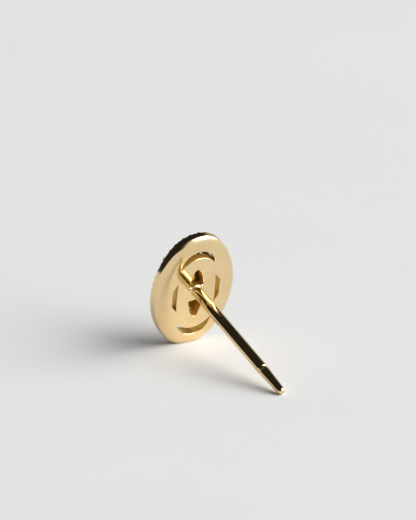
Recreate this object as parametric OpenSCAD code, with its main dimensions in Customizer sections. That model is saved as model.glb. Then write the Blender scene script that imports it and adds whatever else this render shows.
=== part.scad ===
// Diamond stud earring: an oval halo head on a straight ear post, standing on its rim and on the post's tip.
// Stud axes used by the sub-part modules: z = 0 is the back face of the plate, +z goes to the stones,
// the post runs along -z, and y is the long way of the oval.

/* [Head] */
// Length of the oval head
head_len = 8.36; // [8.3:0.02:9]
// Width of the oval head
head_wid = 5.72; // [5.7:0.02:6.2]
// Radius of the round at each end of the oval
end_r = 2.2; // [2:0.01:2.3]
// Height of the gallery from the back face to its front edge
gallery_h = 0.82; // [0.76:0.01:1]
// Thickness of the pierced back plate
plate_t = 0.5; // [0.4:0.01:0.6]
// Round along the back edge of the rim
rim_r = 0.45; // [0.3:0.01:0.6]

/* [Openings] */
// Half length of the oval that bounds the crescents
open_half_len = 3.24; // [3:0.01:3.3]
// Half width of the same oval, at the outer edge of the side slits
open_half_wid = 1.7; // [1.6:0.01:1.75]
// Distance from the middle to the inner edge of a crescent
crescent_in = 2.74; // [2.6:0.01:2.8]
// Half width between the tips of a crescent
crescent_tip_x = 1.23; // [1.1:0.01:1.3]
// Distance from the middle to the tips of a crescent along the oval
crescent_tip_y = 2.11; // [2:0.01:2.2]
// Distance from the middle to the inner edge of a side slit
slit_in = 1.4; // [1.3:0.01:1.45]
// Half length of a side slit
slit_half = 1.06; // [0.9:0.01:1.2]
// Half length of the straight outer edge of a side slit
slit_flat_half = 0.63; // [0.5:0.01:0.8]
// Half length of the centre opening
eye_half_len = 1.82; // [1.6:0.01:1.9]
// Half width of the centre opening
eye_half_wid = 0.52; // [0.45:0.01:0.6]
// Half width of the bar across the centre opening that carries the post
bar_half = 0.54; // [0.48:0.01:0.6]

/* [Post] */
// Diameter of the post
post_d = 0.75; // [0.7:0.01:0.9]
// Length of the post from the back face to the end of its tip
post_len = 11.5; // [9:0.1:13]
// Diameter of the post just beyond its friction groove
neck_d = 0.72; // [0.68:0.01:0.75]
// Diameter of the post at its round tip
tip_d = 0.67; // [0.6:0.01:0.7]
// Distance of the friction groove from the end of the tip
groove_from_tip = 2.7; // [2:0.1:4]
// Depth of the friction groove
groove_depth = 0.07; // [0.04:0.01:0.1]
// How far above the middle of the head the post stands
post_up = 0.18; // [0:0.01:0.2]
// Width of the solder fillet around the foot of the post
solder_w = 0.14; // [0.05:0.01:0.16]

/* [Stones] */
// Number of halo stones
halo_count = 21; // [18:1:22]
// Diameter of a halo stone
halo_d = 0.83; // [0.7:0.01:0.84]
// Distance from the outside of the rim to the middle of a halo stone
halo_inset = 0.45; // [0.44:0.01:0.46]
// Length of the centre stone
centre_len = 5.2; // [4.8:0.02:5.3]
// Width of the centre stone
centre_wid = 3.1; // [2.9:0.02:3.2]
// Gap between a stone and the metal around it
stone_gap = 0.015; // [0.01:0.005:0.03]

/* [Rest] */
// Turn of the head around the post where it stands
roll = 6.2; // [0:0.1:8]
// Depth of the small facet that the rim stands on
rest_facet = 0.09; // [0.03:0.01:0.1]

/* [Hidden] */
eps = 0.01;
// Height by which a cut runs out over the front.
cut_over = 1;
half_len = head_len / 2;
half_wid = head_wid / 2;

// Halo stones: heights are shares of the diameter.
table_share = 0.56;
crown_share = 0.15;
girdle_share = 0.03;
pavilion_share = 0.43;
halo_girdle_z = gallery_h + 0.03;

// Centre stone: its culet stands just over the bar of the plate.
culet_clear = 0.06;
centre_culet_z = plate_t + culet_clear;
centre_pavilion_h = 0.385 * centre_wid;
centre_girdle_h = 0.07;
centre_crown_h = 0.14 * centre_wid;
centre_girdle_z = centre_culet_z + centre_pavilion_h;

// Beads between the halo stones: two on the outside, one on the inside.
bead_r = 0.17;
bead_apart = 0.24;
bead_sink = 0.05;
bead_inset = 0.13;
inner_bead_inset = 0.72;
inner_bead_r = 0.17;

// Claws: upright wires at an angle from the long axis, with round heads that lean in over the stone.
claw_r = 0.18;
claw_angle = 50;
claw_over = 0.06;
claw_head_r = 0.18;
claw_head_out = 0.09;
claw_head_up = 0.14;
claw_foot = [centre_wid / 2 * sin(claw_angle), centre_len / 2 * cos(claw_angle)];
claw_away = atan2(claw_foot[1] / (centre_len * centre_len), claw_foot[0] / (centre_wid * centre_wid));
claw_top_z = centre_girdle_z + centre_girdle_h;

// Collar: a wall of two arcs that stands on the plate around the centre stone's pavilion.
collar_half_len = 2.62;
collar_half_wid = 1.32;
collar_w = 0.18;
collar_h = 0.8;
collar_root = 0.1;

// The rim is swept in arcs, and a prism fills it.
core_inset = rim_r + 0.02;
ring_w = rim_r + 0.04;

// The recess behind the stones is a little wider than the openings in its floor.
recess_half_len = open_half_len + 0.04;
recess_half_wid = open_half_wid + 0.06;
recess_end_r = 1.3;

slit_bow = 0.04;
eye_steps = 24;
groove_r = 0.15;
arc_step = 3;
facet_count = 8;

// Side radius of a four-centre oval with half length a, half width b and end radius r.
function side_r(a, b, r) = (b * b + a * a - 2 * a * r) / (2 * (b - r));
// Angle at which its side arc meets its end arc.
function turn_angle(a, b, r) = atan2(a - r, side_r(a, b, r) - b);
// Length of its side arc from the middle of a side to the end arc, and of half its end arc.
function side_arc(a, b, r) = side_r(a, b, r) * turn_angle(a, b, r) * PI / 180;
function end_arc(a, b, r) = r * (90 - turn_angle(a, b, r)) * PI / 180;
function oval_length(a, b, r) = 4 * (side_arc(a, b, r) + end_arc(a, b, r));

// Direction of the outward normal at distance s along the oval from the middle of its +x side, in its
// first quarter.
function quarter_angle(a, b, r, s) =
    s < side_arc(a, b, r)
        ? s / side_r(a, b, r) * 180 / PI
        : turn_angle(a, b, r) + (s - side_arc(a, b, r)) / r * 180 / PI;
// The same anywhere on the oval.
function normal_angle(a, b, r, s) =
    let (whole = oval_length(a, b, r), q = whole / 4, t = s - floor(s / whole) * whole)
    t < q ? quarter_angle(a, b, r, t)
    : t < 2 * q ? 180 - quarter_angle(a, b, r, 2 * q - t)
    : t < 3 * q ? 180 + quarter_angle(a, b, r, t - 2 * q)
    : 360 - quarter_angle(a, b, r, 4 * q - t);
// Point of the oval whose outward normal has direction t.
function oval_at(a, b, r, t) =
    let (steep = abs(sin(t)) > sin(turn_angle(a, b, r)), big = side_r(a, b, r))
    steep
        ? [r * cos(t), sign(sin(t)) * (a - r) + r * sin(t)]
        : [sign(cos(t)) * (b - big) + big * cos(t), big * sin(t)];
function oval_points(a, b, r) = [for (t = [0:arc_step:360 - arc_step]) oval_at(a, b, r, t)];

module oval_prism(a, b, r, z0, z1) {
    translate([0, 0, z0])
        linear_extrude(z1 - z0)
            polygon(oval_points(a, b, r));
}

// Sweeps its children, a section whose x = 0 is the outside, around an arc of radius r.
module arc_sweep(r, from, span) {
    rotate([0, 0, from])
        rotate_extrude(angle = span, $fn = 180)
            translate([r, 0])
                children();
}

// Sweeps its children around a four-centre oval, quarter by quarter.
module oval_sweep(a, b, r) {
    big = side_r(a, b, r);
    turn = turn_angle(a, b, r);
    for (mx = [0, 1], my = [0, 1])
        mirror([mx, 0, 0])
            mirror([0, my, 0]) {
                translate([b - big, 0, 0])
                    arc_sweep(big, 0, turn)
                        children();
                translate([0, a - r, 0])
                    arc_sweep(r, turn, 90 - turn)
                        children();
            }
}

// The rim's back edge is rounded.
module rim() {
    oval_sweep(half_len, half_wid, end_r)
        difference() {
            translate([-ring_w, 0])
                square([ring_w, gallery_h]);
            difference() {
                translate([-rim_r, -eps])
                    square([rim_r + eps, rim_r + eps]);
                translate([-rim_r, rim_r])
                    circle(rim_r, $fn = 64);
            }
        }
}

// A crescent lies between two arcs through the same tips.
module crescent() {
    rise_out = open_half_len - crescent_tip_y;
    rise_in = crescent_in - crescent_tip_y;
    r_out = (crescent_tip_x * crescent_tip_x + rise_out * rise_out) / (2 * rise_out);
    r_in = (crescent_tip_x * crescent_tip_x + rise_in * rise_in) / (2 * rise_in);
    difference() {
        translate([0, open_half_len - r_out, -eps])
            cylinder(h = plate_t + 2 * eps, r = r_out, $fn = 96);
        translate([0, crescent_in - r_in, -2 * eps])
            cylinder(h = plate_t + 4 * eps, r = r_in, $fn = 96);
    }
}

module slit() {
    translate([0, 0, -eps])
        linear_extrude(plate_t + 2 * eps)
            polygon([
                [slit_in - slit_bow, slit_half],
                [slit_in, 0],
                [slit_in - slit_bow, -slit_half],
                [open_half_wid - slit_bow / 2, -slit_flat_half],
                [open_half_wid, 0],
                [open_half_wid - slit_bow / 2, slit_flat_half],
            ]);
}

// The centre opening is an ellipse with a bar left across it.
module eye() {
    cut = asin(bar_half / eye_half_len);
    for (side = [0, 180])
        rotate([0, 0, side])
            translate([0, 0, -eps])
                linear_extrude(plate_t + 2 * eps)
                    polygon([
                        for (i = [0:eye_steps])
                            let (t = cut + (180 - 2 * cut) * i / eye_steps)
                            [eye_half_wid * cos(t), eye_half_len * sin(t)]
                    ]);
}

function halo_length() = oval_length(half_len - halo_inset, half_wid - halo_inset, end_r - halo_inset);
// Distance along the stones' oval of place i, counted from the stone at the top end.
function halo_s(i) = halo_length() * (0.25 + i / halo_count);

// Stands its children on the halo's oval at place i, with +x pointing out.
module on_halo(i) {
    a = half_len - halo_inset;
    b = half_wid - halo_inset;
    r = end_r - halo_inset;
    t = normal_angle(a, b, r, halo_s(i));
    translate(concat(oval_at(a, b, r, t), [0]))
        rotate([0, 0, t])
            children();
}

// Room for a halo stone: the round outline of its pavilion, girdle and crown with a gap all around.
module halo_seat() {
    r = halo_d / 2 + stone_gap;
    z = halo_girdle_z;
    top = halo_d * (girdle_share + crown_share);
    rotate_extrude($fn = 48)
        polygon([
            [0, z - pavilion_share * halo_d - 2 * stone_gap],
            [r, z - stone_gap],
            [r, z + girdle_share * halo_d + stone_gap],
            [r * table_share, z + top + stone_gap],
            [r * table_share, z + top + cut_over],
            [0, z + top + cut_over],
        ]);
}

module beads() {
    for (i = [0:halo_count - 1])
        on_halo(i + 0.5) {
            for (along = [-bead_apart, bead_apart])
                translate([halo_inset - bead_inset, along, gallery_h - bead_sink])
                    sphere(bead_r, $fn = 32);
            translate([halo_inset - inner_bead_inset, 0, gallery_h - bead_sink])
                sphere(inner_bead_r, $fn = 32);
        }
}

// Stands its children beside the centre stone's girdle at each claw, with +x pointing away from it.
module at_claws() {
    for (sx = [-1, 1], sy = [-1, 1])
        translate([sx * claw_foot[0], sy * claw_foot[1], 0])
            rotate([0, 0, sy * (sx > 0 ? claw_away : 180 - claw_away)])
                children();
}

module claws() {
    at_claws() {
        translate([claw_r + stone_gap, 0, plate_t / 2])
            cylinder(h = claw_top_z + claw_over - plate_t / 2, r = claw_r, $fn = 40);
        translate([claw_head_out, 0, claw_top_z + claw_head_up])
            sphere(claw_head_r, $fn = 32);
    }
}

// Where two round bars of radius r overlap, each that far aside.
module lens(r, aside, z0, h) {
    intersection_for (side = [-1, 1])
        translate([side * aside, 0, z0])
            cylinder(h = h, r = r, $fn = 128);
}

module collar() {
    r = (collar_half_len * collar_half_len + collar_half_wid * collar_half_wid) / (2 * collar_half_wid);
    aside = r - collar_half_wid;
    difference() {
        lens(r, aside, plate_t - collar_root, collar_root + collar_h);
        lens(r - collar_w, aside, plate_t - 2 * collar_root, 2 * collar_root + collar_h + eps);
    }
}

module post() {
    r = post_d / 2;
    tip_r = tip_d / 2;
    groove_z = groove_from_tip - post_len;
    translate([0, post_up, 0]) {
        difference() {
            translate([0, 0, groove_z])
                cylinder(h = -groove_z + solder_w / 2, r = r, $fn = 64);
            translate([0, 0, groove_z])
                rotate_extrude($fn = 64)
                    translate([r + groove_r - groove_depth, 0])
                        circle(groove_r, $fn = 32);
        }
        translate([0, 0, tip_r - post_len])
            cylinder(h = groove_from_tip - tip_r, r1 = tip_r, r2 = neck_d / 2, $fn = 64);
        translate([0, 0, tip_r - post_len])
            sphere(tip_r, $fn = 64);
        solder(r);
    }
}

// Hollow fillet of solder around the foot of the post, which tapers inwards again inside the plate.
module solder(r) {
    rotate_extrude($fn = 64)
        difference() {
            polygon([
                [0, -solder_w],
                [r + solder_w, -solder_w],
                [r + solder_w, 0],
                [r, solder_w],
                [0, solder_w],
            ]);
            translate([r + solder_w, -solder_w])
                circle(solder_w, $fn = 32);
        }
}

module setting_metal() {
    difference() {
        union() {
            rim();
            oval_prism(half_len - core_inset, half_wid - core_inset, end_r - core_inset, 0, gallery_h);
            beads();
        }
        oval_prism(recess_half_len, recess_half_wid, recess_end_r, plate_t, gallery_h + cut_over);
        for (side = [0, 180])
            rotate([0, 0, side]) {
                crescent();
                slit();
            }
        eye();
        for (i = [0:halo_count - 1])
            on_halo(i)
                halo_seat();
    }
    collar();
    claws();
    post();
}

// The stand: the rim's lowest edge and the post's tip touch the floor, and the origin is under the middle
// of the box between the post's tip and the foremost claw.
rim_reach = (half_len - end_r) * cos(roll) + end_r;
arm_up = rim_reach - rim_r + post_up * cos(roll);
arm_along = post_len - tip_d / 2 + rim_r;
arm_gap = tip_d / 2 - rim_r + rest_facet;
lean = atan2(arm_up, arm_along) - asin(arm_gap / norm([arm_up, arm_along]));
stand_h = (rim_reach - rim_r) * cos(lean) - rim_r * sin(lean) + rim_r - rest_facet;
tip_reach = (post_len - tip_d / 2) * cos(lean) + post_up * cos(roll) * sin(lean) + tip_d / 2;
claw_head = claw_foot + claw_head_out * [cos(claw_away), sin(claw_away)];
claw_down = claw_head[0] * sin(roll) + claw_head[1] * cos(roll);
claw_reach = claw_down * sin(lean) + (claw_top_z + claw_head_up) * cos(lean) + claw_head_r;
stand_y = (claw_reach - tip_reach) / 2;
floor_w = 40;
floor_t = 5;

module stand() {
    translate([0, stand_y, stand_h])
        rotate([90 - lean, 0, 0])
            rotate([0, 0, -roll])
                children();
}

module setting() {
    color([0.86, 0.74, 0.5])
        difference() {
            stand()
                setting_metal();
            translate([-floor_w / 2, -floor_w / 2, -floor_t])
                cube([floor_w, floor_w, floor_t]);
        }
}

// Brilliant cut: w and l are its width and length, and the heights are those of crown, girdle and pavilion.
// The girdle's lower edge is at z = 0.
module brilliant(w, l, crown_h, girdle_h, pavilion_h) {
    n = facet_count;
    step = 360 / n;
    half = cos(step / 2);
    star_share = 0.5;
    lower_share = 0.77;
    star_r = (table_share + (1 - table_share) * star_share) / half;
    lower_r = (1 - lower_share) / half;
    ring = function (r, z, shift, count) [
        for (i = [0:count - 1])
            let (t = (i + shift) * 360 / count)
            [r * cos(t) * w / 2, r * sin(t) * l / 2, z]
    ];
    points = concat(
        ring(table_share, girdle_h + crown_h, 0, n),
        ring(star_r, girdle_h + crown_h * (1 - star_share), 0.5, n),
        ring(1, girdle_h, 0, 2 * n),
        ring(1, 0, 0, 2 * n),
        ring(lower_r, -pavilion_h * lower_share, 0.5, n),
        [[0, 0, -pavilion_h]]
    );
    table = function (i) (i + n) % n;
    star = function (i) n + (i + n) % n;
    top = function (i) 2 * n + (i + 2 * n) % (2 * n);
    base = function (i) 4 * n + (i + 2 * n) % (2 * n);
    lower = function (i) 6 * n + (i + n) % n;
    culet = 7 * n;
    faces = [
        [for (i = [n - 1:-1:0]) table(i)],
        for (i = [0:n - 1]) [table(i), star(i), top(2 * i), star(i - 1)],
        for (i = [0:n - 1]) [table(i), table(i + 1), star(i)],
        for (i = [0:n - 1]) [star(i), top(2 * i + 1), top(2 * i)],
        for (i = [0:n - 1]) [star(i), top(2 * i + 2), top(2 * i + 1)],
        for (i = [0:2 * n - 1]) [top(i), top(i + 1), base(i + 1), base(i)],
        for (i = [0:n - 1]) [lower(i), base(2 * i), base(2 * i + 1)],
        for (i = [0:n - 1]) [lower(i), base(2 * i + 1), base(2 * i + 2)],
        for (i = [0:n - 1]) [culet, lower(i - 1), base(2 * i), lower(i)],
    ];
    polyhedron(points, faces);
}

module centre_stone() {
    color([0.93, 0.95, 0.97])
        stand()
            translate([0, 0, centre_girdle_z])
                brilliant(centre_wid, centre_len, centre_crown_h, centre_girdle_h, centre_pavilion_h);
}

module halo_stone(i) {
    color([0.93, 0.95, 0.97])
        stand()
            on_halo(i)
                translate([0, 0, halo_girdle_z])
                    brilliant(halo_d, halo_d, crown_share * halo_d, girdle_share * halo_d,
                              pavilion_share * halo_d);
}

function two_digits(i) = i < 10 ? str("0", i) : str(i);
function stone_name(i) = str("halo_stone_", two_digits(i));

setting();
centre_stone();
for (i = [1:halo_count])
    halo_stone(i - 1);
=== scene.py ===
"""Oval halo stud earring, standing on its rim and its post on a pale studio floor.

Places and lengths are in metres in the model's own frame. The head's shape is in millimetres, on axes of
its own.
"""

import math

import bmesh
import bpy
from mathutils import Matrix, Vector
from mathutils.geometry import delaunay_2d_cdt


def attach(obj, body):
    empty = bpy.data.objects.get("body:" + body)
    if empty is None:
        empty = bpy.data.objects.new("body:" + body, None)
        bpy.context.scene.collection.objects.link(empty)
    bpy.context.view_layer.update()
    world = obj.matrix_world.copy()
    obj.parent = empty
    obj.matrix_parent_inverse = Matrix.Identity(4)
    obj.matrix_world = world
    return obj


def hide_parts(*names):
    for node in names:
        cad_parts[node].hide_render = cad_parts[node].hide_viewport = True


MM = 0.001

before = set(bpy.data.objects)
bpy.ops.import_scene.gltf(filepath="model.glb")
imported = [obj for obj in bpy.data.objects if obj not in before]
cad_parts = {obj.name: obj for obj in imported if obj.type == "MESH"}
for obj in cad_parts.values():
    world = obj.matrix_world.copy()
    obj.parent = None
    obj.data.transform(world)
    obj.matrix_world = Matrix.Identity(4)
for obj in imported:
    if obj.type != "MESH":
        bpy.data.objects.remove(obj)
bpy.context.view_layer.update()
scene = bpy.context.scene


# Where things are. Azimuth runs from +Y towards +X, elevation up from the floor, both in degrees.

def direction(azimuth, elevation):
    a, e = math.radians(azimuth), math.radians(elevation)
    return Vector((math.sin(a) * math.cos(e), math.cos(a) * math.cos(e), math.sin(e)))


# The middle of the head's back face, where the CAD model has it.
HEAD_CENTRE = Vector((0, -4.1707, 3.7388)) * MM
CAMERA_FROM = direction(30.9, 18.31)
CAMERA_DISTANCE = 0.8
PICTURE_HEIGHT_PX = 520
PX_PER_MM = 15.75
SENSOR_MM = 36
# The head's centre stands this many pixels left of and below the middle of the picture.
HEAD_LEFT_PX = 11.9
HEAD_BELOW_PX = 33.2


# Node helpers

def add(tree, kind, inputs=None, **settings):
    """A new node. An input's value is a number, a colour or the socket that feeds it."""
    node = tree.nodes.new(kind)
    for key, value in settings.items():
        setattr(node, key, value)
    for key, value in (inputs or {}).items():
        if isinstance(value, bpy.types.NodeSocket):
            tree.links.new(value, node.inputs[key])
        else:
            node.inputs[key].default_value = value
    return node


def new_material(name):
    """A material with nothing on it yet, its node tree, and a socket with the piece's own coordinates."""
    material = bpy.data.materials.new(name)
    material.use_nodes = True
    tree = material.node_tree
    tree.nodes.clear()
    return material, tree, add(tree, "ShaderNodeTexCoord").outputs["Object"]


def noise(tree, place, scale, detail=2.0):
    return add(tree, "ShaderNodeTexNoise", {
        "Vector": place, "Scale": scale, "Detail": detail, "Roughness": 0.5,
    }).outputs["Fac"]


def blend_colours(tree, factor, first, second):
    ramp = add(tree, "ShaderNodeValToRGB", {"Fac": factor})
    low, high = ramp.color_ramp.elements
    low.position, high.position = 0.3, 0.7
    low.color, high.color = (*first, 1), (*second, 1)
    return ramp.outputs["Color"]


def put_shader(tree, inputs):
    """A principled shader with these inputs, as the material's surface."""
    shader = add(tree, "ShaderNodeBsdfPrincipled", inputs)
    add(tree, "ShaderNodeOutputMaterial", {"Surface": shader.outputs["BSDF"]})


# Materials

def metal_material(name, clouds, colours, polish, roughness, relief, strength, height):
    """Metal in clouds of two colours, unevenly polished, with a fine relief: a noise for each."""
    material, tree, place = new_material(name)
    lowest, highest = roughness
    uneven = add(tree, "ShaderNodeMapRange", {
        "Value": noise(tree, place, **polish), "To Min": lowest, "To Max": highest,
    })
    bump = add(tree, "ShaderNodeBump", {
        "Height": noise(tree, place, **relief), "Strength": strength, "Distance": height,
    })
    put_shader(tree, {
        "Base Color": blend_colours(tree, noise(tree, place, **clouds), *colours),
        "Metallic": 1.0,
        "Roughness": uneven.outputs["Result"],
        "Normal": bump.outputs["Normal"],
    })
    return material


def gold_material():
    """Polished pale yellow gold, with a slight orange peel."""
    return metal_material(
        "polished gold",
        clouds=dict(scale=700.0), colours=((0.83, 0.635, 0.34), (0.89, 0.695, 0.40)),
        polish=dict(scale=1600.0, detail=4.0), roughness=(0.08, 0.14),
        relief=dict(scale=900.0), strength=0.25, height=4e-6)


def cast_gold_and_painted_shade_material():
    """Gold as it left the mould: dull and grainy. Its deep amber colour is painted shade, standing in for the
    warm dimness of light bouncing inside the openings and the recess.
    """
    return metal_material(
        "cast gold with painted shade",
        clouds=dict(scale=2600.0, detail=3.0), colours=((0.92, 0.58, 0.13), (1.0, 0.80, 0.34)),
        polish=dict(scale=3200.0, detail=4.0), roughness=(0.32, 0.5),
        relief=dict(scale=4500.0), strength=1.0, height=4e-5)


def diamond_material(name, tint):
    """Clear cut stone with a breath of colour, which varies from place to place."""
    material, tree, place = new_material(name)
    put_shader(tree, {
        "Base Color": blend_colours(tree, noise(tree, place, 500.0), tint, (1.0, 1.0, 1.0)),
        "Roughness": 0.0,
        "IOR": 2.417,
        "Transmission Weight": 1.0,
    })
    return material


def floor_material():
    """Matt white studio floor with a faint mottle."""
    material, tree, place = new_material("studio floor")
    put_shader(tree, {
        "Base Color": blend_colours(tree, noise(tree, place, 60.0), (0.80, 0.80, 0.805), (0.81, 0.81, 0.815)),
        "Roughness": 0.9,
        "Specular IOR Level": 0.1,
    })
    return material


# The head's own axes, in millimetres: z = 0 is the back face of the plate, +z goes to the stones, the post
# runs along -z and y is the long way of the oval. The head leans back and is turned round its post as the
# CAD model's is.

LEAN, ROLL = math.radians(18.6659), math.radians(6.2)
head_to_world = (
    Matrix.Translation(HEAD_CENTRE)
    @ Matrix.Rotation(math.pi / 2 - LEAN, 4, "X")
    @ Matrix.Rotation(-ROLL, 4, "Z")
    @ Matrix.Scale(MM, 4)
)

# The oval has round ends and flatter round sides. Its outward normal is SIDE_TURN from x where they meet.
HALF_LEN, HALF_WID, END_R = 4.18, 2.86, 2.2
SIDE_R = (HALF_WID ** 2 + HALF_LEN ** 2 - 2 * HALF_LEN * END_R) / (2 * (HALF_WID - END_R))
SIDE_TURN = math.atan2(HALF_LEN - END_R, SIDE_R - HALF_WID)
TURNS = [math.radians(i) for i in range(360)]

# The back bulges softly: from PILLOW_W inside the edge it bends forward, by PILLOW_H at the edge. Its section
# is a quarter of an ellipse.
PILLOW_W, PILLOW_H = 1.07, 0.45
# The rim is built in rings as far in as this, and the openings begin further in.
BAND_W, RIM_STEPS = 0.88, 32
# The rim's wall stands this far outside the CAD model's, and ends just behind its front edge.
EDGE_OUT = 0.045
WALL_TOP_Z, FRONT_EDGE_Z, FRONT_EDGE_INSET = 0.77, 0.82, 0.02
# Rows of points inside the rim, closest where the bulge begins.
BULGE_INSETS = (0.93, 0.97, 1.0, 1.03, 1.06, 1.15)

# The CAD model is kept in front of this height, and the walls of the openings reach a little over it.
CUT_Z, CUT_OVERLAP = 0.45, 0.02

# A crescent: where its tips are, and how far out the middles of its outer and inner edges are.
CRESCENT_TIP_X, CRESCENT_TIP_Y, CRESCENT_OUT, CRESCENT_IN = 1.23, 2.11, 3.24, 2.74
# A side slit: where its inner and outer corners are, and how far out the middles of its edges are.
SLIT_TIP_X, SLIT_TIP_Y, SLIT_IN = 1.36, 1.06, 1.40
SLIT_CORNER_X, SLIT_CORNER_Y, SLIT_OUT = 1.68, 0.63, 1.70
# The centre openings: an oval, and the half width of the bar that parts it in two.
EYE_HALF_WID, EYE_HALF_LEN, BAR_HALF = 0.52, 1.82, 0.54
CRESCENT_STEPS, SLIT_STEPS, EYE_STEPS, LINE_STEP = 64, 32, 72, 0.06
# The openings have round lips, which fan out at the corners.
LIP_R, LIP_STEPS, FAN_STEPS = 0.05, 6, 8

# The post sinks by TIP_SINK towards its slim tip, so that this still touches the floor.
POST_R, POST_UP, POST_LEN = 0.375, 0.18, 11.2
NECK_R, TIP_R, TIP_SINK = 0.355, 0.265, 0.17
TAPER_STEPS, TIP_STEPS = 8, 12
POST_TURNS = [math.radians(3 * i) for i in range(120)]
GROOVE_Z, GROOVE_HALF, GROOVE_DEPTH, GROOVE_POWER, GROOVE_STEPS = -8.75, 0.15, 0.055, 0.8, 12
SOLDER_W, SOLDER_STEPS = 0.14, 8
# The shaft comes out of the solder at this height.
SHAFT_Z = -0.2

# Seat under the centre stone's pavilion: heights of its rings, each with its share of the girdle's size.
SEAT_RINGS = [(1.15, 0.83), (0.68, 0.335), (0.52, 0.05)]
SEAT_SIDES = 8
GIRDLE_HALF_WID, GIRDLE_HALF_LEN = 1.55, 2.6

# Metal between these heights and this far in from the edge is as cast, dull and grainy: no polishing wheel
# reaches there. It also takes a deeper amber colour, which is painted shade for the light bouncing in these
# hollows.
CAST_AND_SHADE_FROM_Z, CAST_AND_SHADE_TO_Z, CAST_AND_SHADE_INSET = 0.08, 1.05, 0.9

# A length below SAME_PLACE counts as none, and so does a cross product below NO_AREA.
SAME_PLACE = 1e-6
NO_AREA = 1e-12
# The CAD mesh repeats its points at each face. They are welded within this distance.
WELD = 1e-5
SHARP_ANGLE = math.radians(28)


# The oval and the bulge

def outline(turn, inset):
    """The point whose outward normal has direction turn, on the oval moved inwards by inset."""
    c, s = math.cos(turn), math.sin(turn)
    if abs(s) > math.sin(SIDE_TURN):
        return (END_R - inset) * c, math.copysign(HALF_LEN - END_R, s) + (END_R - inset) * s
    return math.copysign(1, c) * (HALF_WID - SIDE_R) + (SIDE_R - inset) * c, (SIDE_R - inset) * s


def edge_distance(x, y):
    """How far inside the oval a point is, and the outward direction there."""
    to_end = Vector((x, y - math.copysign(HALF_LEN - END_R, y)))
    if to_end.y * y > 0 and abs(to_end.y) >= abs(to_end.x) * math.tan(SIDE_TURN):
        return END_R - to_end.length, to_end.normalized()
    to_side = Vector((x - math.copysign(1, x) * (HALF_WID - SIDE_R), y))
    return SIDE_R - to_side.length, to_side.normalized()


def pillow(out):
    """Height of the bulge and its normal's outward and back parts. out is 0 on the flat, 1 at the edge."""
    back = math.sqrt(1 - out ** 2)
    normal = Vector((PILLOW_H * out, PILLOW_W * back)).normalized()
    return PILLOW_H * (1 - back), normal.x, normal.y


def back_face(x, y):
    """Height of the back face and its normal."""
    distance, outward = edge_distance(x, y)
    height, out_part, back_part = pillow(min(max(1 - (distance + EDGE_OUT) / PILLOW_W, 0), 1))
    return height, Vector((*(outward * out_part), -back_part))


# The openings

def crescent_edge(middle):
    """Points of the round edge of a crescent, from tip to tip over (0, middle)."""
    rise = middle - CRESCENT_TIP_Y
    radius = (CRESCENT_TIP_X ** 2 + rise ** 2) / (2 * rise)
    reach = math.asin(CRESCENT_TIP_X / radius)
    angles = [reach * (1 - 2 * i / CRESCENT_STEPS) for i in range(CRESCENT_STEPS + 1)]
    return [(radius * math.sin(a), middle - radius + radius * math.cos(a)) for a in angles]


def straight(start, end):
    """Points along a straight edge."""
    (x0, y0), (x1, y1) = start, end
    parts = max(2, round(math.hypot(x1 - x0, y1 - y0) / LINE_STEP))
    return [(x0 + (x1 - x0) * i / parts, y0 + (y1 - y0) * i / parts) for i in range(parts + 1)]


def bowed(start, middle, end):
    """Points along a gently curved edge through three points."""
    def at(t, first, halfway, last):
        pull = 2 * halfway - (first + last) / 2
        return (1 - t) ** 2 * first + 2 * t * (1 - t) * pull + t * t * last

    shares = [i / SLIT_STEPS for i in range(SLIT_STEPS + 1)]
    (x0, y0), (x1, y1), (x2, y2) = start, middle, end
    return [(at(t, x0, x1, x2), at(t, y0, y1, y2)) for t in shares]


def openings():
    """The outlines of the six openings, each as a list of smooth runs from corner to corner."""
    crescent = [crescent_edge(CRESCENT_OUT)[::-1], crescent_edge(CRESCENT_IN)]

    low_tip, high_tip = (SLIT_TIP_X, -SLIT_TIP_Y), (SLIT_TIP_X, SLIT_TIP_Y)
    low_corner, high_corner = (SLIT_CORNER_X, -SLIT_CORNER_Y), (SLIT_CORNER_X, SLIT_CORNER_Y)
    slit = [
        bowed(low_tip, (SLIT_IN, 0), high_tip),
        straight(high_tip, high_corner),
        bowed(high_corner, (SLIT_OUT, 0), low_corner),
        straight(low_corner, low_tip),
    ]

    cut = math.asin(BAR_HALF / EYE_HALF_LEN)
    angles = [cut + (math.pi - 2 * cut) * i / EYE_STEPS for i in range(EYE_STEPS + 1)]
    dome = [(EYE_HALF_WID * math.cos(a), EYE_HALF_LEN * math.sin(a)) for a in angles]
    eye = [dome, straight(dome[-1], dome[0])]

    return [[[(sign * x, sign * y) for x, y in run] for run in runs]
            for sign in (1, -1) for runs in (crescent, slit, eye)]


def lip_line(runs):
    """Points around an opening with the direction into the metal, fanned out at its corners."""
    area = sum(a[0] * b[1] - b[0] * a[1] for run in runs for a, b in zip(run, run[1:]))
    side = 1 if area > 0 else -1
    line = []
    for run in runs:
        for i, (x, y) in enumerate(run):
            a, b = run[max(i - 1, 0)], run[min(i + 1, len(run) - 1)]
            along = Vector((b[0] - a[0], b[1] - a[1])).normalized()
            line.append((Vector((x, y)), Vector((along.y, -along.x)) * side))

    fanned = []
    for k, (place, away) in enumerate(line):
        following, next_away = line[(k + 1) % len(line)]
        fanned.append((place, away))
        if (following - place).length < SAME_PLACE:
            for i in range(1, FAN_STEPS):
                mixed = away.lerp(next_away, i / FAN_STEPS)
                if mixed.length > SAME_PLACE:
                    fanned.append((place, mixed.normalized()))
    return fanned if side > 0 else fanned[::-1]


def inside(spot, loop):
    """Whether a point is inside a closed line, by the count of crossings."""
    result = False
    for a, b in zip(loop, loop[1:] + loop[:1]):
        if (a.y > spot.y) != (b.y > spot.y) and spot.x < a.x + (b.x - a.x) * (spot.y - a.y) / (b.y - a.y):
            result = not result
    return result


# The parts of the setting's shell

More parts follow.
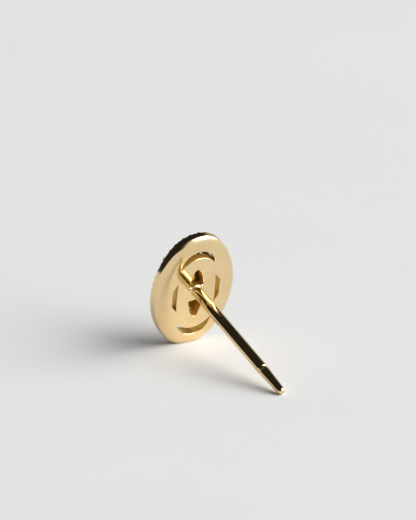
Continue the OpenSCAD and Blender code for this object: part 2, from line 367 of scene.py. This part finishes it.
class Shell:
    """Points with normals, and faces between them."""

    def __init__(self):
        self.points, self.normals, self.faces = [], [], []

    def point(self, position, normal):
        self.points.append(Vector(position))
        self.normals.append(Vector(normal).normalized())
        return len(self.points) - 1

    def join(self, rows):
        """Quads between closed rows of points."""
        for low, high in zip(rows, rows[1:]):
            n = len(low)
            for i in range(n):
                j = (i + 1) % n
                self.faces.append((low[i], low[j], high[j], high[i]))

    def outward(self, face):
        """The face's points in the order that turns its front the way their normals say."""
        a, b, c = (self.points[i] for i in face[:3])
        facing = (b - a).cross(c - a)
        if facing.length < NO_AREA and len(face) == 4:
            facing = (c - a).cross(self.points[face[3]] - a)
        says = self.normals[face[0]] + self.normals[face[2]]
        return face if facing.dot(says) >= 0 else face[::-1]


def add_rim(shell):
    """Rings from the inside of the rim out to the edge, and then up the wall."""
    rings = []
    start = math.asin(1 - (BAND_W + EDGE_OUT) / PILLOW_W)
    for k in range(RIM_STEPS + 1):
        out = math.sin(start + (math.pi / 2 - start) * k / RIM_STEPS)
        inset = PILLOW_W * (1 - out) - EDGE_OUT
        z, out_part, back_part = pillow(out)
        rings.append([
            shell.point((*outline(t, inset), z), (out_part * math.cos(t), out_part * math.sin(t), -back_part))
            for t in TURNS])
    for inset, z, front_part in ((-EDGE_OUT, WALL_TOP_Z, 0), (FRONT_EDGE_INSET, FRONT_EDGE_Z, 1)):
        rings.append([
            shell.point((*outline(t, inset), z), (math.cos(t), math.sin(t), front_part)) for t in TURNS])
    shell.join(rings)


def add_openings(shell):
    """A round lip and a wall at each opening. Returns the lines where the lips meet the back face."""
    lips = []
    for runs in openings():
        line = lip_line(runs)
        rows = []
        for k in range(LIP_STEPS + 1):
            angle = math.pi / 2 * k / LIP_STEPS
            row = []
            for place, away in line:
                spot = place + away * LIP_R * (1 - math.sin(angle))
                z, _ = back_face(*spot)
                row.append(shell.point((*spot, z + LIP_R * (1 - math.cos(angle))),
                                       (*(-away * math.sin(angle)), -math.cos(angle))))
            rows.append(row)
        rows.append([shell.point((*place, CUT_Z + CUT_OVERLAP), (*-away, 0)) for place, away in line])
        shell.join(rows)
        lips.append([place + away * LIP_R for place, away in line])
    return lips


def add_back(shell, lips):
    """The back face between the rim and the lips, in triangles."""
    def in_opening(spot):
        return any(inside(spot, lip) for lip in lips)

    flat, edges = [], []
    for loop in [[Vector(outline(t, BAND_W)) for t in TURNS]] + lips:
        first = len(flat)
        flat += loop
        edges += [(first + i, first + (i + 1) % len(loop)) for i in range(len(loop))]
    for inset in BULGE_INSETS:
        spots = [Vector(outline(t, inset)) for t in TURNS[::2]]
        flat += [spot for spot in spots if not in_opening(spot)]

    # Output type 0 fills the openings too. Their triangles are left out below.
    places, _, triangles, *_ = delaunay_2d_cdt(flat, edges, [], 0, SAME_PLACE)
    skin = []
    for spot in places:
        z, normal = back_face(*spot)
        skin.append(shell.point((*spot, z), normal))
    for a, b, c in triangles:
        middle = (places[a] + places[b] + places[c]) / 3
        if not in_opening(middle):
            shell.faces.append((skin[a], skin[b], skin[c]))


def solder_width(t):
    """Width of the solder in direction t from the post: uneven, as on a joint made by hand."""
    return SOLDER_W * (0.8 + 0.3 * math.sin(2 * t + 0.6) * math.cos(t) + 0.12 * math.sin(5 * t))


def add_solder(shell):
    """A hollow fillet around the post's foot. Returns its last row of points, which is on the post."""
    rows = []
    for k in range(SOLDER_STEPS + 1):
        angle = math.pi / 2 * (1 - k / SOLDER_STEPS)
        row = []
        for t in POST_TURNS:
            width = solder_width(t)
            radius = POST_R + width - width * math.cos(angle)
            row.append(shell.point(
                (radius * math.cos(t), POST_UP + radius * math.sin(t), -width + width * math.sin(angle)),
                (math.cos(angle) * math.cos(t), math.cos(angle) * math.sin(t), -math.sin(angle))))
        rows.append(row)
    shell.join(rows)
    return rows[-1]


def post_profile():
    """Radius and height from the foot of the post to its tip: shaft, groove, taper and round end."""
    profile = [(POST_R, SHAFT_Z), (POST_R, GROOVE_Z + GROOVE_HALF)]
    for k in range(1, GROOVE_STEPS):
        share = k / GROOVE_STEPS
        depth = GROOVE_DEPTH * math.sin(math.pi * share) ** GROOVE_POWER
        profile.append((POST_R + (NECK_R - POST_R) * share - depth, GROOVE_Z + GROOVE_HALF * (1 - 2 * share)))
    neck_z, tip_z = GROOVE_Z - GROOVE_HALF, TIP_R - POST_LEN
    for k in range(TAPER_STEPS + 1):
        share = k / TAPER_STEPS
        profile.append((NECK_R + (TIP_R - NECK_R) * share, neck_z + (tip_z - neck_z) * share))
    for k in range(1, TIP_STEPS):
        angle = math.pi / 2 * k / TIP_STEPS
        profile.append((TIP_R * math.cos(angle), tip_z - TIP_R * math.sin(angle)))
    return profile


def post_middle(z):
    """Where the post's middle line is at this height."""
    sink = TIP_SINK * min(-z / (POST_LEN - TIP_R), 1)
    return -sink * math.sin(ROLL), POST_UP - sink * math.cos(ROLL)


def add_post(shell):
    """The post as a turned shape."""
    rows = [add_solder(shell)]
    profile = post_profile()
    for (r0, z0), (radius, z), (r1, z1) in zip(profile[:1] + profile, profile, profile[1:] + profile[-1:]):
        x, y = post_middle(z)
        out, back = z0 - z1, r0 - r1
        rows.append([
            shell.point((x + radius * math.cos(t), y + radius * math.sin(t), z),
                        (out * math.cos(t), out * math.sin(t), -back))
            for t in POST_TURNS])
    shell.join(rows)
    end = shell.point((*post_middle(-POST_LEN), -POST_LEN), (0, 0, -1))
    last = rows[-1]
    shell.faces += [(last[i], last[(i + 1) % len(last)], end) for i in range(len(last))]


def add_seat(shell):
    """A cast seat that follows the pavilion's eight main facets, just under them."""
    turns = [math.radians(360 / SEAT_SIDES * (i + 0.5)) for i in range(SEAT_SIDES)]
    rings = [[(share * GIRDLE_HALF_WID * math.cos(t), share * GIRDLE_HALF_LEN * math.sin(t), z)
              for t in turns] for z, share in SEAT_RINGS]
    for low, high in zip(rings, rings[1:]):
        for i in range(SEAT_SIDES):
            j = (i + 1) % SEAT_SIDES
            corners = [Vector(c) for c in (low[i], low[j], high[j], high[i])]
            normal = (corners[1] - corners[0]).cross(corners[3] - corners[0]).normalized()
            normal *= -math.copysign(1, normal.z)
            shell.faces.append(tuple(shell.point(c, normal) for c in corners))


# The setting

def kept_front(cad_node):
    """Points and faces of the CAD model in front of CUT_Z, on the head's axes."""
    front = bmesh.new()
    front.from_mesh(cad_node.data)
    bmesh.ops.transform(front, matrix=head_to_world.inverted(), verts=front.verts)
    bmesh.ops.remove_doubles(front, verts=front.verts, dist=WELD)
    bmesh.ops.bisect_plane(
        front, geom=front.verts[:] + front.edges[:] + front.faces[:],
        plane_co=(0, 0, CUT_Z), plane_no=(0, 0, 1), clear_inner=True)
    front.verts.index_update()
    points = [v.co.copy() for v in front.verts]
    faces = [[v.index for v in f.verts] for f in front.faces]
    front.free()
    return points, faces


def is_cast_and_painted_shade(spot):
    """Whether the metal at a spot is as cast, and so takes the deeper amber colour that is painted shade."""
    inset, _ = edge_distance(spot.x, spot.y)
    return CAST_AND_SHADE_FROM_Z < spot.z < CAST_AND_SHADE_TO_Z and inset > CAST_AND_SHADE_INSET


def build_setting(cad_node, polished, cast):
    """The CAD model's front with a bulging back, softened openings and a turned post, as one piece."""
    shell = Shell()
    add_rim(shell)
    lips = add_openings(shell)
    add_back(shell, lips)
    add_post(shell)
    add_seat(shell)

    points, faces = kept_front(cad_node)
    kept = len(points)
    points += shell.points
    faces += [[kept + i for i in shell.outward(face)] for face in shell.faces]

    mesh = bpy.data.meshes.new("setting_fine")
    world = [head_to_world @ p for p in points]
    # Nothing reaches under the floor, so the rim is flat where it stands, as the CAD model's is.
    mesh.from_pydata([(p.x, p.y, max(p.z, 0.0)) for p in world], [], faces)
    mesh.materials.append(polished)
    # The second material is the cast gold, whose deeper amber colour is painted shade.
    mesh.materials.append(cast)
    for polygon, face in zip(mesh.polygons, faces):
        middle = sum((points[i] for i in face), Vector()) / len(face)
        polygon.material_index = int(is_cast_and_painted_shade(middle))
        polygon.use_smooth = True

    # The kept front takes its normals from its faces, which a zero vector asks for.
    mesh.set_sharp_from_angle(angle=SHARP_ANGLE)
    turn = head_to_world.to_3x3().normalized()
    normals = [Vector((0, 0, 0))] * kept + [turn @ n for n in shell.normals]
    mesh.normals_split_custom_set([normals[loop.vertex_index] for loop in mesh.loops])
    piece = bpy.data.objects.new("setting_fine", mesh)
    scene.collection.objects.link(piece)
    return piece


# The object

def put_on(node, material):
    node.data.materials.clear()
    node.data.materials.append(material)


gold = gold_material()
# Cast gold for the hollows: dull and grainy, in a deeper amber colour that is painted shade.
cast_gold_and_painted_shade = cast_gold_and_painted_shade_material()
centre_diamond = diamond_material("centre diamond", (0.97, 0.98, 1.0))
halo_diamond = diamond_material("halo diamond", (0.96, 0.97, 1.0))

for name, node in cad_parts.items():
    if name == "setting":
        put_on(node, gold)
        setting = build_setting(node, gold, cast_gold_and_painted_shade)
        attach(setting, "root")
        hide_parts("setting")
    elif name == "centre_stone":
        put_on(node, centre_diamond)
    else:
        put_on(node, halo_diamond)


# Floor, lights and camera

def make_floor(half_size):
    mesh = bpy.data.meshes.new("floor")
    corners = [(x * half_size, y * half_size, 0) for x, y in ((-1, -1), (1, -1), (1, 1), (-1, 1))]
    mesh.from_pydata(corners, [], [(0, 1, 2, 3)])
    mesh.materials.append(floor_material())
    floor = bpy.data.objects.new("floor", mesh)
    scene.collection.objects.link(floor)


def make_softbox(name, azimuth, elevation, distance, width, height, radiance, colour):
    """A rectangular light that faces the object. Its power follows from the brightness of its face."""
    lamp = bpy.data.lights.new(name, "AREA")
    lamp.shape = "RECTANGLE"
    lamp.size, lamp.size_y = width, height
    lamp.energy = radiance * math.pi * width * height
    lamp.color = colour
    softbox = bpy.data.objects.new(name, lamp)
    scene.collection.objects.link(softbox)
    towards = direction(azimuth, elevation)
    softbox.location = HEAD_CENTRE + towards * distance
    softbox.rotation_euler = towards.to_track_quat("Z", "Y").to_euler()


def add_glow(tree, looking, light, azimuth, elevation, inner, outer, colour):
    """The light with a soft round glow added: full up to inner degrees from its middle, gone at outer."""
    near = add(tree, "ShaderNodeVectorMath", {0: looking, 1: direction(azimuth, elevation)},
               operation="DOT_PRODUCT")
    glow = add(tree, "ShaderNodeMapRange", {
        "Value": near.outputs["Value"],
        "From Min": math.cos(math.radians(outer)), "From Max": math.cos(math.radians(inner)),
    }, interpolation_type="SMOOTHSTEP")
    coloured = add(tree, "ShaderNodeVectorMath", {0: colour, "Scale": glow.outputs["Result"]},
                   operation="SCALE")
    summed = add(tree, "ShaderNodeVectorMath", {0: light, 1: coloured.outputs["Vector"]}, operation="ADD")
    return summed.outputs["Vector"]


def light_room(base, glows):
    """World light: a dark room with soft glows in it."""
    world = bpy.data.worlds.new("studio")
    world.use_nodes = True
    tree = world.node_tree
    tree.nodes.clear()
    looking = add(tree, "ShaderNodeTexCoord").outputs["Generated"]
    light = add(tree, "ShaderNodeCombineXYZ", dict(zip("XYZ", base))).outputs["Vector"]
    for glow in glows:
        light = add_glow(tree, looking, light, **glow)
    background = add(tree, "ShaderNodeBackground", {"Color": light, "Strength": 1.0})
    add(tree, "ShaderNodeOutputWorld", {"Surface": background.outputs["Background"]})
    scene.world = world


def make_camera():
    camera = bpy.data.objects.new("camera", bpy.data.cameras.new("camera"))
    scene.collection.objects.link(camera)
    turn = CAMERA_FROM.to_track_quat("Z", "Y")
    right, up = turn @ Vector((1, 0, 0)), turn @ Vector((0, 1, 0))
    aim = HEAD_CENTRE + (right * HEAD_LEFT_PX + up * HEAD_BELOW_PX) / PX_PER_MM * MM
    camera.location = aim + CAMERA_FROM * CAMERA_DISTANCE
    camera.rotation_euler = turn.to_euler()
    camera.data.sensor_fit = "VERTICAL"
    camera.data.sensor_height = SENSOR_MM
    picture_height = PICTURE_HEIGHT_PX / PX_PER_MM * MM
    camera.data.lens = SENSOR_MM * CAMERA_DISTANCE / picture_height
    camera.data.clip_start, camera.data.clip_end = 0.01, 100
    scene.camera = camera


make_floor(half_size=6.0)
make_softbox("window", azimuth=-51, elevation=34, distance=2.0, width=2.8, height=1.6,
             radiance=4.9, colour=(1.0, 1.0, 0.99))
light_room((0.02, 0.019, 0.018), [
    dict(azimuth=-108, elevation=2, inner=12, outer=42, colour=(0.6, 0.6, 0.61)),
    dict(azimuth=-38, elevation=20, inner=30, outer=62, colour=(0.9, 0.9, 0.89)),
    dict(azimuth=180, elevation=0, inner=20, outer=45, colour=(0.7, 0.7, 0.7)),
])
make_camera()
scene.view_settings.view_transform = "Standard"
